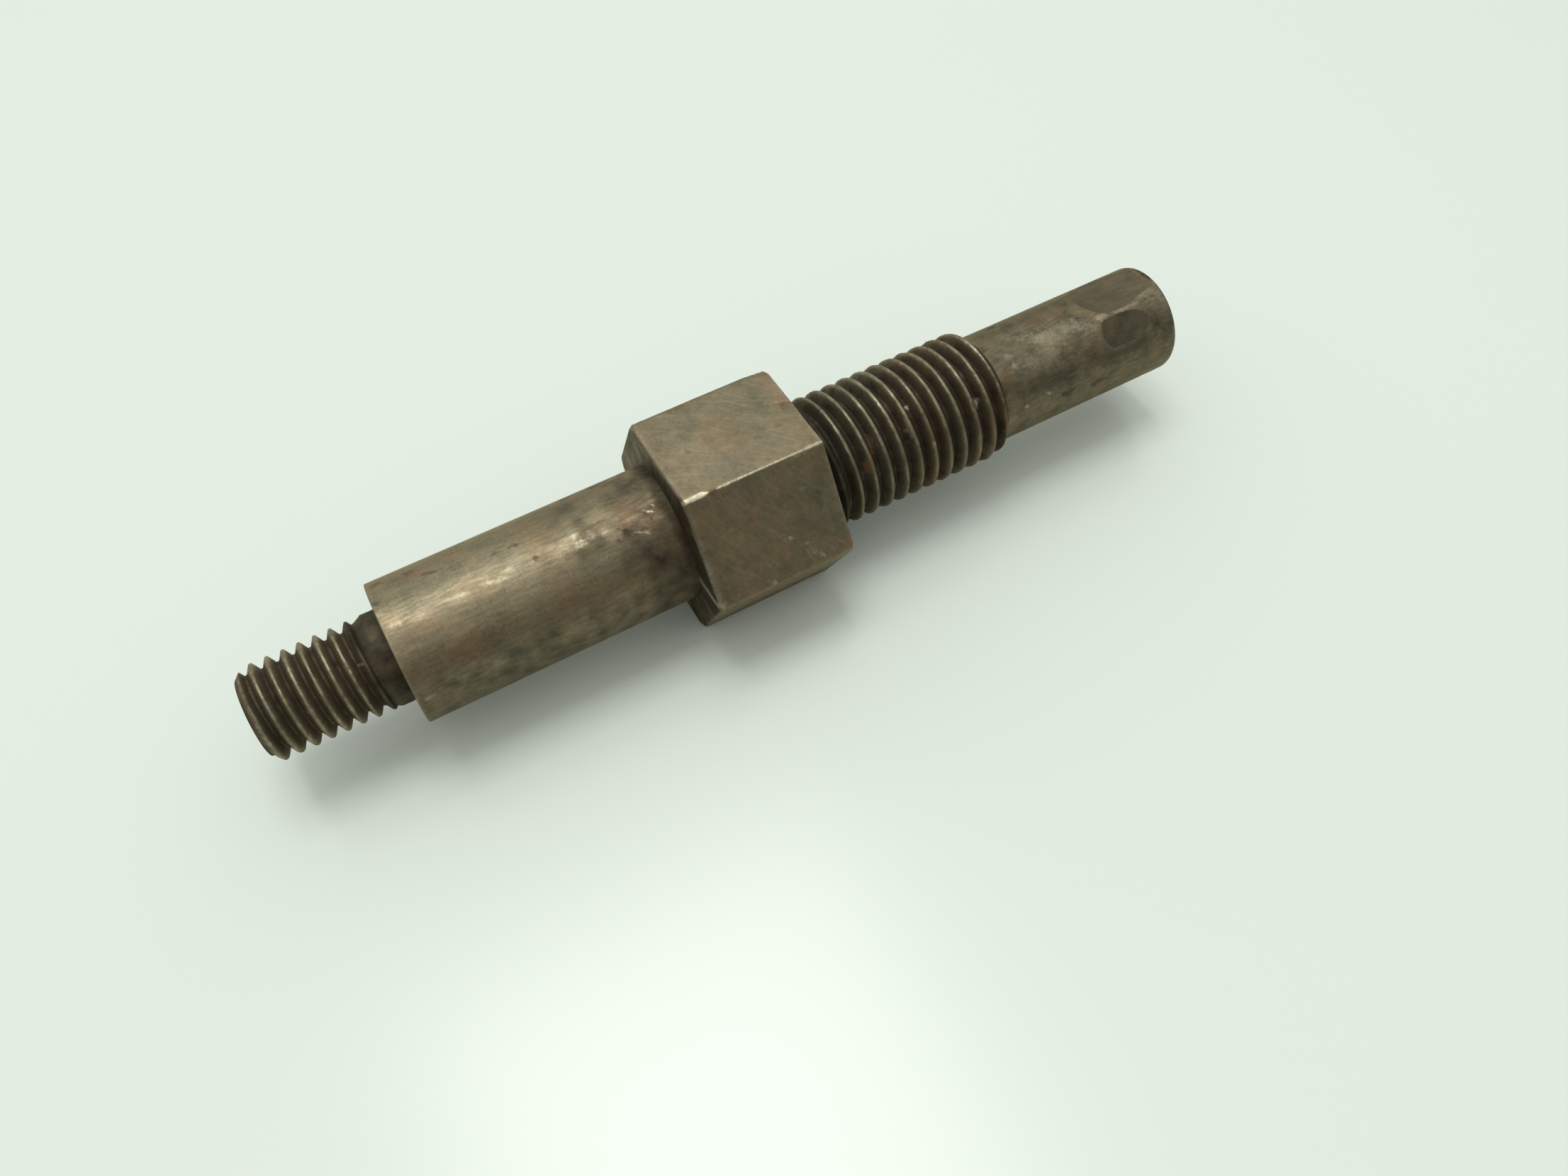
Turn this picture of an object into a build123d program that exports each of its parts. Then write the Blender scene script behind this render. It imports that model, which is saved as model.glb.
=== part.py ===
"""Threaded spindle: screwed stub, plain journal, hexagon head, screwed nose and plain shank.

One piece turned from bar and milled, lying on one flat of its head. It is modelled standing
on the lathe axis Z, with Z = 0 on the shoulder between journal and head. At the end it is
laid down: the lathe axis becomes +X, the shank is on the +X side and +Z points up.
Azimuths are degrees about the lathe axis, counted from the line that ends up lowest.
"""

from build123d import *
import math
import os

# ---- driving dimensions, millimetres ----

# journal, between stub and head
JOURNAL_DIAMETER = 12.0
JOURNAL_LENGTH = 23.8
JOURNAL_EDGE_BREAK = 0.12

# head, for a 17 mm spanner
HEAD_ACROSS_FLATS = 16.8
HEAD_LENGTH = 12.5
HEAD_SHOULDER_EDGE_BREAK = 0.3
HEAD_NOSE_EDGE_BREAK = 0.1
HEAD_CORNER_TRIM = 0.6
HEAD_CORNER_TRIM_ANGLE = 30.0

# M8 stub, with a plain neck next to the journal
STUB_DIAMETER = 7.9
STUB_LENGTH = 11.4
STUB_PITCH = 1.25
STUB_END_CHAMFER = 0.75
STUB_NECK_LENGTH = 1.2
STUB_RUNOUT_LENGTH = 1.5
STUB_GROOVE_AZIMUTH = 260.0

# M12 fine nose, screwed right up to the head
NOSE_DIAMETER = 11.84
NOSE_LENGTH = 18.65
NOSE_PITCH = 1.5
NOSE_RUNOUT_GAP = 0.2
NOSE_RUNOUT_LENGTH = 1.2
NOSE_GROOVE_AZIMUTH = 50.5

# plain shank beyond the nose
SHANK_DIAMETER = 9.98
SHANK_LENGTH = 18.65
SHANK_EDGE_BREAK = 0.18

# two shallow hollows ground into the shank near its end
DEEP_HOLLOW_AZIMUTH = 170.5
DEEP_HOLLOW_DEPTH = 0.66
DEEP_HOLLOW_WHEEL_RADIUS = 12.5
DEEP_HOLLOW_FROM_END = 4.2
SMALL_HOLLOW_AZIMUTH = 221.0
SMALL_HOLLOW_DEPTH = 0.2
SMALL_HOLLOW_WHEEL_RADIUS = 15.0
SMALL_HOLLOW_FROM_END = 5.1

# form shared by both threads
THREAD_ANGLE = 60.0
THREAD_DEPTH_PER_PITCH = 0.59
CREST_WIDTH_PER_PITCH = 0.15

# how far cutting shapes reach past the metal
CUTTER_OVERSHOOT = 0.1
RUNOUT_OVERSHOOT = 0.15

# ---- stations along the lathe axis ----
STUB_END_Z = -JOURNAL_LENGTH - STUB_LENGTH
NOSE_END_Z = HEAD_LENGTH + NOSE_LENGTH
SHANK_END_Z = NOSE_END_Z + SHANK_LENGTH


def turned(outline):
    """Solid of revolution about the lathe axis from (radius, height) points."""
    return revolve(make_face(Plane.XZ * Polyline(*outline, close=True)), Axis.Z)


def thread_groove(diameter, pitch, first_z, last_z, azimuth):
    """Right-hand groove with flat root, whose centre passes first_z at the azimuth."""
    depth = THREAD_DEPTH_PER_PITCH * pitch
    root_r = diameter / 2 - depth
    mouth_r = diameter / 2 + CUTTER_OVERSHOOT
    slope = math.tan(math.radians(THREAD_ANGLE / 2))
    root_width = pitch * (1 - CREST_WIDTH_PER_PITCH) - 2 * depth * slope
    middle_r = root_r + depth / 2
    middle_width = root_width + depth * slope
    mouth_width = root_width + 2 * (mouth_r - root_r) * slope
    # Each flank is two strips, because narrow helical faces need far fewer facets.
    profile = Polyline(
        (root_r, -root_width / 2),
        (middle_r, -middle_width / 2),
        (mouth_r, -mouth_width / 2),
        (mouth_r, mouth_width / 2),
        (middle_r, middle_width / 2),
        (root_r, root_width / 2),
        close=True,
    )
    path = Helix(pitch, last_z - first_z, root_r)
    groove = sweep(make_face(Plane.XZ * profile), path, is_frenet=True)
    return Pos(0, 0, first_z) * Rot(0, 0, azimuth) * groove


def cutter_reach(diameter, pitch, full_z, lifted_z, open_z):
    """Room the threading cutter sweeps, from open_z until it lifts out after full_z."""
    major_r = diameter / 2
    depth = THREAD_DEPTH_PER_PITCH * pitch
    outer_r = major_r + RUNOUT_OVERSHOOT
    inner_r = major_r - depth - RUNOUT_OVERSHOOT
    shift = (lifted_z - full_z) * RUNOUT_OVERSHOOT / depth
    return turned(
        [
            (inner_r, open_z),
            (outer_r, open_z),
            (outer_r, lifted_z + shift),
            (inner_r, full_z - shift),
        ]
    )


def screwed_stub():
    """Stub whose thread is open at the free end and runs out before the neck."""
    major_r = STUB_DIAMETER / 2
    neck_z = -JOURNAL_LENGTH - STUB_NECK_LENGTH
    runout_z = neck_z - STUB_RUNOUT_LENGTH
    stock_z = STUB_END_Z - 3 * STUB_PITCH
    groove = thread_groove(
        STUB_DIAMETER,
        STUB_PITCH,
        STUB_END_Z - STUB_PITCH,
        neck_z + STUB_PITCH,
        STUB_GROOVE_AZIMUTH,
    )
    reach = cutter_reach(STUB_DIAMETER, STUB_PITCH, runout_z, neck_z, stock_z)
    stock = turned(
        [(0, stock_z), (major_r, stock_z), (major_r, -JOURNAL_LENGTH), (0, -JOURNAL_LENGTH)]
    )
    outline = turned(
        [
            (0, STUB_END_Z),
            (major_r - STUB_END_CHAMFER, STUB_END_Z),
            (major_r, STUB_END_Z + STUB_END_CHAMFER),
            (major_r, -JOURNAL_LENGTH),
            (0, -JOURNAL_LENGTH),
        ]
    )
    return (stock - (groove & reach)) & outline


def screwed_nose():
    """Nose whose thread starts shallow at the head and is open at the shank."""
    major_r = NOSE_DIAMETER / 2
    shank_r = SHANK_DIAMETER / 2
    lifted_z = HEAD_LENGTH + NOSE_RUNOUT_GAP
    full_z = lifted_z + NOSE_RUNOUT_LENGTH
    root_z = HEAD_LENGTH / 2
    stock_z = NOSE_END_Z + 3 * NOSE_PITCH
    groove = thread_groove(
        NOSE_DIAMETER,
        NOSE_PITCH,
        HEAD_LENGTH - NOSE_PITCH,
        NOSE_END_Z + NOSE_PITCH,
        NOSE_GROOVE_AZIMUTH,
    )
    reach = cutter_reach(NOSE_DIAMETER, NOSE_PITCH, full_z, lifted_z, stock_z)
    stock = turned([(0, root_z), (major_r, root_z), (major_r, stock_z), (0, stock_z)])
    outline = turned(
        [
            (0, root_z),
            (major_r, root_z),
            (major_r, NOSE_END_Z - (major_r - shank_r)),
            (shank_r, NOSE_END_Z),
            (0, NOSE_END_Z),
        ]
    )
    return (stock - (groove & reach)) & outline


def journal():
    """Plain bearing length from the stub to inside the head."""
    journal_r = JOURNAL_DIAMETER / 2
    return turned(
        [
            (0, -JOURNAL_LENGTH),
            (journal_r - JOURNAL_EDGE_BREAK, -JOURNAL_LENGTH),
            (journal_r, -JOURNAL_LENGTH + JOURNAL_EDGE_BREAK),
            (journal_r, HEAD_LENGTH / 2),
            (0, HEAD_LENGTH / 2),
        ]
    )


def head():
    """Hexagon with one flat down and its corners trimmed on the shoulder side."""
    flats = RegularPolygon(HEAD_ACROSS_FLATS / 2, 6, major_radius=False, rotation=30)
    prism = extrude(flats, HEAD_LENGTH)
    end_faces = prism.faces().filter_by(Axis.Z).sort_by(Axis.Z)
    prism = chamfer(end_faces[0].edges(), HEAD_SHOULDER_EDGE_BREAK)
    prism = chamfer(prism.faces().sort_by(Axis.Z)[-1].edges(), HEAD_NOSE_EDGE_BREAK)
    trim_r = HEAD_ACROSS_FLATS / math.sqrt(3) - HEAD_CORNER_TRIM
    widening = HEAD_LENGTH / math.tan(math.radians(HEAD_CORNER_TRIM_ANGLE))
    trim = turned([(0, 0), (trim_r, 0), (trim_r + widening, HEAD_LENGTH), (0, HEAD_LENGTH)])
    return prism & trim


def shank():
    """Plain shank with the two ground hollows."""
    shank_r = SHANK_DIAMETER / 2
    plain = turned(
        [
            (0, NOSE_END_Z),
            (shank_r, NOSE_END_Z),
            (shank_r, SHANK_END_Z - SHANK_EDGE_BREAK),
            (shank_r - SHANK_EDGE_BREAK, SHANK_END_Z),
            (0, SHANK_END_Z),
        ]
    )
    deep = grinding_wheel(
        DEEP_HOLLOW_AZIMUTH, DEEP_HOLLOW_DEPTH, DEEP_HOLLOW_WHEEL_RADIUS, DEEP_HOLLOW_FROM_END
    )
    small = grinding_wheel(
        SMALL_HOLLOW_AZIMUTH, SMALL_HOLLOW_DEPTH, SMALL_HOLLOW_WHEEL_RADIUS, SMALL_HOLLOW_FROM_END
    )
    return plain - deep - small


def grinding_wheel(azimuth, depth, wheel_radius, from_end):
    """Wheel whose rim dips into the shank, its spindle square to the lathe axis."""
    reach = SHANK_DIAMETER / 2 - depth + wheel_radius
    wheel = Rot(90, 0, 0) * Cylinder(wheel_radius, 2 * SHANK_DIAMETER)
    return Rot(0, 0, azimuth) * Pos(reach, 0, SHANK_END_Z - from_end) * wheel


def threaded_spindle():
    """All lengths joined into one piece and laid down on a flat of the head."""
    upright = screwed_stub() + journal() + head() + screwed_nose() + shank()
    return Rot(0, 90, 0) * upright


os.makedirs("parts", exist_ok=True)
export_step(threaded_spindle(), "parts/threaded_spindle.step")
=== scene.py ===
"""Looks of a worn steel threaded spindle, lying on one flat of its hexagon head.

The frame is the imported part's: the turning axis is +X, the shoulder between journal and
head is X = 0 and +Z points up. Shapes are worked out in millimetres and written in metres.
A station is a place along the axis in millimetres. An azimuth is the angle about +X in
degrees, from +Y towards +Z, so 90 is the top.
"""

import math

import bmesh
import bpy
import numpy as np
from mathutils import Matrix, Vector


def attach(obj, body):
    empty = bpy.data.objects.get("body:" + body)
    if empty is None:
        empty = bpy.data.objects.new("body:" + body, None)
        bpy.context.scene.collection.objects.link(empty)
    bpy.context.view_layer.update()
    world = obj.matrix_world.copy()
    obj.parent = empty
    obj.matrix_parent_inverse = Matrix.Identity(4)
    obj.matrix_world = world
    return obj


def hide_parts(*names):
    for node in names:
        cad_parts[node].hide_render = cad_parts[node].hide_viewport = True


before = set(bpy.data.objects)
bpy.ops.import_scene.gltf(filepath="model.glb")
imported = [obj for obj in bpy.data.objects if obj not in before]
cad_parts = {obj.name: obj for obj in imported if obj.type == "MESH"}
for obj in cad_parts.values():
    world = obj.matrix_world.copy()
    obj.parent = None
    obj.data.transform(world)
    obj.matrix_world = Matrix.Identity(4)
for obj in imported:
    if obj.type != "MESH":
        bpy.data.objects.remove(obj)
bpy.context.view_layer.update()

MM = 0.001
NODE = "threaded_spindle"

# ---- sizes of the part, millimetres ----
JOURNAL_R = 6.0
JOURNAL_LENGTH = 23.8
JOURNAL_EDGE = 0.12
HEAD_HALF_FLATS = 8.4
HEAD_LENGTH = 12.5
HEAD_EDGE = 0.3
HEAD_FAR_EDGE = 0.1
HEAD_TRIM = 0.6
STUB_R = 3.95
STUB_LENGTH = 11.4
STUB_PITCH = 1.25
STUB_CHAMFER = 0.75
STUB_RUNOUT_AT = -26.5
STUB_RUNOUT = 1.5
NOSE_R = 5.92
NOSE_LENGTH = 18.65
NOSE_PITCH = 1.5
NOSE_RUNOUT_GAP = 0.2
NOSE_RUNOUT = 1.2
SHANK_R = 4.99
SHANK_LENGTH = 18.65
THREAD_DEPTH_PER_PITCH = 0.59
CREST_WIDTH_PER_PITCH = 0.15
FLANK_ANGLE = math.radians(30)
CORNER_STEP = 60
# How far stub, nose and shank reach into their neighbours.
OVERLAP = 0.3
# Radius that stands for "nothing is cut here", and depth that stands for "outside the hollow".
UNCUT_R = 99.0
OUTSIDE_DEPTH = -9.0
# Greatest wear of a thread crest and depth of the pits in a root.
CREST_WEAR = 0.045
ROOT_PITS = 0.02
NECK_PITS = 0.03
# Slope of the nose's worn end chamfer, as radius over station.
NOSE_CHAMFER_SLOPE = 1.15
# Mesh segments in one turn of each thread.
STUB_SEGMENTS = 200
NOSE_SEGMENTS = 240
# Edges sharper than this, in degrees, stay sharp.
ROUND_SHARP = 30.0
HEAD_SHARP = 35.0
THREAD_SHARP = 40.0

STUB_START = -JOURNAL_LENGTH
STUB_END = STUB_START - STUB_LENGTH
NOSE_END = HEAD_LENGTH + NOSE_LENGTH
SHANK_END = NOSE_END + SHANK_LENGTH

# Azimuth of the camera's side, at which the first crests' stations are given.
CREST_ZERO = 128.47
STUB_CREST = -34.72
NOSE_CREST = 15.45

# Ground hollows of the shank: azimuth, stations along the floor and its depths there.
UPPER_HOLLOW = (
    80.5,
    (41.6, 42.0, 42.8, 43.4, 44.4, 45.9, 47.4, 48.6, 49.8),
    (-0.10, 0.08, 0.40, 0.59, 0.66, 0.66, 0.49, 0.38, 0.28),
)
LOWER_HOLLOW = (
    131.0,
    (42.15, 42.35, 42.55, 42.9, 43.4, 44.9, 45.8, 46.6, 47.2, 47.7),
    (-0.04, 0.04, 0.12, 0.18, 0.20, 0.20, 0.165, 0.10, 0.03, -0.06),
)


# ---- shared shapes of numbers ----
def smooth_step(low, high, value):
    """0 below low, 1 above high, with an even slope at both."""
    t = np.clip((value - low) / (high - low), 0.0, 1.0)
    return t * t * (3.0 - 2.0 * t)


def angle_between(azimuth, centre):
    """Signed difference of two azimuths, in degrees, from -180 to 180."""
    return (azimuth - centre + 180.0) % 360.0 - 180.0


def soft_least(a, b, ease):
    """Smaller of two lengths, with a rounded corner where they cross."""
    return 0.5 * (a + b - np.sqrt((a - b) ** 2 + ease**2))


# Length of part that the noise covers.
NOISE_SPAN = 90


class Ripple:
    """Smooth seeded noise over station and azimuth, from -1 to 1, that closes round the axis."""

    def __init__(self, seed, cells_per_mm, cells_round):
        self.cells_per_mm = cells_per_mm
        self.cells_round = cells_round
        rows = int(NOISE_SPAN * cells_per_mm) + 3
        self.grid = np.random.default_rng(seed).uniform(-1.0, 1.0, (rows, cells_round))

    def __call__(self, station, azimuth):
        x = (station - STUB_END + 1.0) * self.cells_per_mm
        y = (azimuth % 360.0) / 360.0 * self.cells_round
        x0 = np.clip(np.floor(x).astype(int), 0, self.grid.shape[0] - 2)
        y0 = np.floor(y).astype(int) % self.cells_round
        fx = smooth_step(0.0, 1.0, x - x0)
        fy = smooth_step(0.0, 1.0, y - np.floor(y))
        y1 = (y0 + 1) % self.cells_round
        g = self.grid
        low = g[x0, y0] * (1 - fy) + g[x0, y1] * fy
        high = g[x0 + 1, y0] * (1 - fy) + g[x0 + 1, y1] * fy
        return low * (1 - fx) + high * fx


# Four grains of noise: seed, cells in a millimetre, cells round the axis.
broad = Ripple(3, 0.35, 9)
patchy = Ripple(5, 1.1, 34)
grainy = Ripple(7, 3.2, 110)
fine = Ripple(11, 6.0, 200)


# A mark fades between these shares of its size. A dent's lip: place and width as such shares
# too, and height as a share of the dent's depth.
MARK_GONE, MARK_FULL = 1.15, 0.55
LIP_AT, LIP_WIDTH, LIP_HEIGHT = 1.25, 0.22, 0.22


def mark_distance(station, azimuth, radius, mark):
    """1 on the rim of a mark, less inside; the rim is ragged."""
    middle, centre, half_length, half_width, slant = mark
    along = station - middle
    across = radius * np.radians(angle_between(azimuth, centre))
    c, s = math.cos(math.radians(slant)), math.sin(math.radians(slant))
    p = (along * c + across * s) / half_length
    q = (across * c - along * s) / half_width
    ragged = 0.4 * grainy(station, azimuth) + 0.4 * fine(station, azimuth)
    return np.hypot(p, q) * (1.0 + ragged)


def mark_share(station, azimuth, radius, marks):
    """Strongest of several marks at each point, from 0 to 1."""
    share = np.zeros_like(station)
    for *shape, strength in marks:
        off_middle = mark_distance(station, azimuth, radius, shape)
        share = np.maximum(share, strength * smooth_step(MARK_GONE, MARK_FULL, off_middle))
    return share


def dent_depth(station, azimuth, radius, dents):
    """Depth of small knocks, with a low raised lip round each."""
    depth = np.zeros_like(station)
    for *shape, deep in dents:
        q = mark_distance(station, azimuth, radius, shape)
        bowl = np.where(q < 1.0, (1.0 - np.minimum(q, 1.0) ** 2) ** 2, 0.0)
        lip = LIP_HEIGHT * np.exp(-(((q - LIP_AT) / LIP_WIDTH) ** 2))
        depth += deep * (bowl - lip)
    return depth


# ---- meshes ----
def finish_mesh(mesh, sharp_angle):
    """Turns all faces outward and shades them smooth but for the sharp edges."""
    bm = bmesh.new()
    bm.from_mesh(mesh)
    bmesh.ops.recalc_face_normals(bm, faces=bm.faces)
    bm.to_mesh(mesh)
    bm.free()
    mesh.polygons.foreach_set("use_smooth", [True] * len(mesh.polygons))
    mesh.set_sharp_from_angle(angle=math.radians(sharp_angle))
    mesh.update()


def new_piece(name, vertices_mm, faces):
    """Object in the scene from vertices in millimetres."""
    mesh = bpy.data.meshes.new(name)
    mesh.from_pydata((np.asarray(vertices_mm) * MM).tolist(), [], faces)
    piece = bpy.data.objects.new(name, mesh)
    bpy.context.scene.collection.objects.link(piece)
    return piece


def around(station, radius, azimuth):
    """Points in millimetres from stations, radii and azimuths of one shape."""
    turn = np.radians(azimuth)
    return np.stack([station, radius * np.cos(turn), radius * np.sin(turn)], axis=-1)


def ringed_solid(name, stations, azimuths, radii, sharp_angle=ROUND_SHARP):
    """Closed solid through rings; stations and radii are arrays of rings by azimuths."""
    rings, count = radii.shape
    points = around(stations, radii, np.broadcast_to(azimuths, radii.shape)).reshape(-1, 3)
    low_centre = [float(stations[0].mean()), 0.0, 0.0]
    high_centre = [float(stations[-1].mean()), 0.0, 0.0]
    points = np.vstack([points, low_centre, high_centre])
    faces = []
    for i in range(rings - 1):
        for j in range(count):
            k = (j + 1) % count
            faces.append((i * count + j, i * count + k, (i + 1) * count + k, (i + 1) * count + j))
    low, high, last = rings * count, rings * count + 1, (rings - 1) * count
    for j in range(count):
        k = (j + 1) % count
        faces.append((low, k, j))
        faces.append((high, last + j, last + k))
    piece = new_piece(name, points, faces)
    finish_mesh(piece.data, sharp_angle)
    return piece


def turned_solid(name, outline, azimuths, shape):
    """Closed solid turned from an outline of stations and radii, then reshaped by a function."""
    stations = np.repeat(outline[:, :1], len(azimuths), axis=1)
    plain = np.repeat(outline[:, 1:], len(azimuths), axis=1)
    radii = shape(stations, np.broadcast_to(azimuths, plain.shape), plain)
    return ringed_solid(name, stations, azimuths, radii)


def polar(piece):
    """Stations, radii and azimuths of a piece's vertices."""
    flat = np.empty(len(piece.data.vertices) * 3, dtype=np.float32)
    piece.data.vertices.foreach_get("co", flat)
    points = flat.reshape(-1, 3).astype(float) / MM
    radius = np.hypot(points[:, 1], points[:, 2])
    azimuth = np.degrees(np.arctan2(points[:, 2], points[:, 1])) % 360.0
    return points[:, 0], radius, azimuth


def paint(piece, **layers):
    """Stores a share from 0 to 1 at each vertex for every named layer of wear, painted shade and
    painted highlight.
    """
    for name in ("soil", "bare", "rust", "warm", "scale"):
        values = np.asarray(layers.get(name, 0.0), dtype=np.float32)
        values = np.clip(np.broadcast_to(values, len(piece.data.vertices)), 0.0, 1.0)
        layer = piece.data.attributes.new(name, "FLOAT", "POINT")
        layer.data.foreach_set("value", np.ascontiguousarray(values))


# ---- threads ----
def thread_height(offset, pitch):
    """Height above the thread root at a distance from the crest's middle, with eased corners."""
    depth = THREAD_DEPTH_PER_PITCH * pitch
    half_crest = CREST_WIDTH_PER_PITCH * pitch / 2
    flank = depth * math.tan(FLANK_ANGLE)
    straight = (half_crest + flank - np.abs(offset)) / flank
    ease = 0.05
    upper = 0.5 * (straight + 1.0 - np.sqrt((straight - 1.0) ** 2 + ease**2))
    eased = 0.5 * (upper + np.sqrt(upper**2 + ease**2))
    return depth * np.clip(eased, 0.0, 1.0)


def thread_offsets(pitch):
    """Offsets across one pitch from a crest, closer together at the crest and root edges."""
    depth = THREAD_DEPTH_PER_PITCH * pitch
    half_crest = CREST_WIDTH_PER_PITCH * pitch / 2
    flank = depth * math.tan(FLANK_ANGLE)
    side = [0.0, half_crest * 0.6, half_crest, half_crest + 0.03]
    side += [half_crest + flank * t for t in (0.2, 0.4, 0.6, 0.8, 0.94, 1.03)]
    other = [pitch - offset for offset in reversed(side[1:])]
    middle = [pitch / 2] if side[-1] < pitch / 2 - 0.03 else []
    return np.array(side + middle + other)


def helical_solid(name, pitch, crest_station, low, high, radius, turn_segments):
    """Solid with a thread whose mesh follows the helix, cut off square at low and high."""
    offsets = thread_offsets(pitch)
    rows = len(offsets)
    first = math.floor((low - crest_station) / pitch) - 2
    last = math.ceil((high - crest_station) / pitch) + 2
    steps = np.arange((last - first) * turn_segments + 1)
    lead = crest_station + pitch * (first + steps / turn_segments)
    station = lead[:, None] + offsets[None, :]
    from_crest = np.broadcast_to(np.minimum(offsets, pitch - offsets), station.shape)
    azimuth = (steps / turn_segments * 360.0)[:, None] + CREST_ZERO + 0.0 * station
    radii = radius(station, from_crest, azimuth)
    points = around(station, radii, azimuth).reshape(-1, 3)
    faces = []
    for a in range(len(steps) - 1):
        base = a * rows
        for k in range(rows - 1):
            faces.append((base + k, base + k + 1, base + rows + k + 1, base + rows + k))
        beyond = base + turn_segments * rows
        if beyond + rows < len(points):
            faces.append((base + rows - 1, beyond, beyond + rows, base + 2 * rows - 1))
    piece = new_piece(name, points, faces)
    bm = bmesh.new()
    bm.from_mesh(piece.data)
    for cut, outward in ((low, -1.0), (high, 1.0)):
        bmesh.ops.bisect_plane(
            bm,
            geom=bm.verts[:] + bm.edges[:] + bm.faces[:],
            dist=1e-8,
            plane_co=(cut * MM, 0, 0),
            plane_no=(outward, 0, 0),
            clear_outer=True,
        )
        rim = [
            edge
            for edge in bm.edges
            if edge.is_boundary and all(abs(v.co.x - cut * MM) < 1e-7 for v in edge.verts)
        ]
        centre = bm.verts.new((cut * MM, 0, 0))
        for edge in rim:
            bm.faces.new((edge.verts[0], edge.verts[1], centre))
    bm.to_mesh(piece.data)
    bm.free()
    finish_mesh(piece.data, THREAD_SHARP)
    return piece


def crest_distance(station, azimuth, pitch, crest_station):
    """Distance along the axis to the nearest crest of a thread."""
    lead = crest_station + pitch * (azimuth - CREST_ZERO) / 360.0
    return np.abs((station - lead + pitch / 2) % pitch - pitch / 2)


def crest_wear(station, azimuth):
    """Share of the worst crest wear, which comes in worn lengths along a turn."""
    worn = 0.35 + 0.3 * patchy(station, azimuth) + 0.35 * grainy(station, azimuth)
    return np.clip(worn, 0.0, 1.0)


# Knocks: station, azimuth, half length, half width, slant, depth.
STUB_DENTS = (
    (-27.4, 122, 0.5, 0.8, 0, 0.12),
    (-30.9, 150, 0.35, 0.6, 20, 0.09),
    (-33.2, 88, 0.35, 0.5, 0, 0.08),
)
NOSE_DENTS = (
    (19.9, 80, 0.4, 0.5, 0, 0.10),
    (21.5, 133, 0.45, 1.9, 0, 0.06),
    (21.6, 104, 0.3, 0.3, 0, 0.05),
    (27.6, 140, 0.4, 0.5, 0, 0.12),
    (16.8, 149, 0.4, 0.6, 0, 0.06),
    (24.6, 96, 0.3, 0.5, 0, 0.06),
)


def worn_thread(station, from_crest, azimuth, crest_radius, pitch, dents):
    """Root radius, thread depth and worn radius of a thread, before its run-out and end."""
    depth = THREAD_DEPTH_PER_PITCH * pitch
    root = crest_radius - depth
    height = thread_height(from_crest, pitch)
    crest = smooth_step(0.6, 1.0, height / depth)
    worn = CREST_WEAR * crest_wear(station, azimuth)
    worn += dent_depth(station, azimuth, crest_radius, dents)
    pitted = ROOT_PITS * (1.0 - crest) * grainy(station, azimuth)
    return root, depth, root + height - worn * crest + pitted


def stub_radius(station, from_crest, azimuth):
    """Radius of the stub: thread, run-out before the neck and end chamfer."""
    root, depth, thread = worn_thread(
        station, from_crest, azimuth, STUB_R, STUB_PITCH, STUB_DENTS
    )
    runout = root + depth * np.clip((station - STUB_RUNOUT_AT) / STUB_RUNOUT, 0.0, 1.0)
    runout -= NECK_PITS * (0.5 + 0.5 * grainy(station, azimuth))
    end_chamfer = STUB_R - STUB_CHAMFER + (station - STUB_END)
    return np.minimum(np.minimum(np.maximum(thread, runout), end_chamfer), STUB_R)


def nose_radius(station, from_crest, azimuth):
    """Radius of the nose: shallow first turn, thread and chamfer down to the shank."""
    _, depth, thread = worn_thread(station, from_crest, azimuth, NOSE_R, NOSE_PITCH, NOSE_DENTS)
    run = np.clip((station - HEAD_LENGTH - NOSE_RUNOUT_GAP) / NOSE_RUNOUT, 0.0, 1.0)
    end_chamfer = SHANK_R + NOSE_CHAMFER_SLOPE * (NOSE_END - station)
    return np.minimum(np.minimum(np.maximum(thread, NOSE_R - depth * run), end_chamfer), NOSE_R)


stub = helical_solid(
    "stub", STUB_PITCH, STUB_CREST, STUB_END, STUB_START + OVERLAP, stub_radius, STUB_SEGMENTS
)
nose = helical_solid(
    "nose", NOSE_PITCH, NOSE_CREST, HEAD_LENGTH - OVERLAP, NOSE_END, nose_radius, NOSE_SEGMENTS
)

# ---- journal ----
ROUND = np.arange(0.0, 360.0, 1.0)
JOURNAL_DENTS = (
    (-4.1, 115.5, 0.4, 0.5, 0, 0.07),
    (-2.8, 120.0, 0.5, 0.28, 40, 0.07),
    (-1.9, 108.5, 0.45, 0.26, -35, 0.07),
    (-11.3, 105.5, 0.22, 0.22, 0, 0.035),
    (-12.2, 87.0, 0.3, 0.2, 0, 0.035),
    (-20.3, 66.0, 0.4, 0.3, 0, 0.03),
    (-8.4, 232.0, 0.6, 0.3, 30, 0.05),
    (-17.0, 318.0, 0.4, 0.4, 0, 0.04),
)
journal_outline = [[STUB_START, 3.0], [STUB_START, 5.82]]
journal_outline += [
    [STUB_START + JOURNAL_EDGE * a, JOURNAL_R - JOURNAL_EDGE * b]
    for a, b in ((0.02, 0.7), (0.12, 0.35), (0.4, 0.1), (0.8, 0.0))
]
journal_outline += [[s, JOURNAL_R] for s in np.arange(STUB_START + 0.2, 0.4, 0.15)]

JOURNAL_UNEVEN = 0.004
RIM_CHIPS = 0.05


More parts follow.
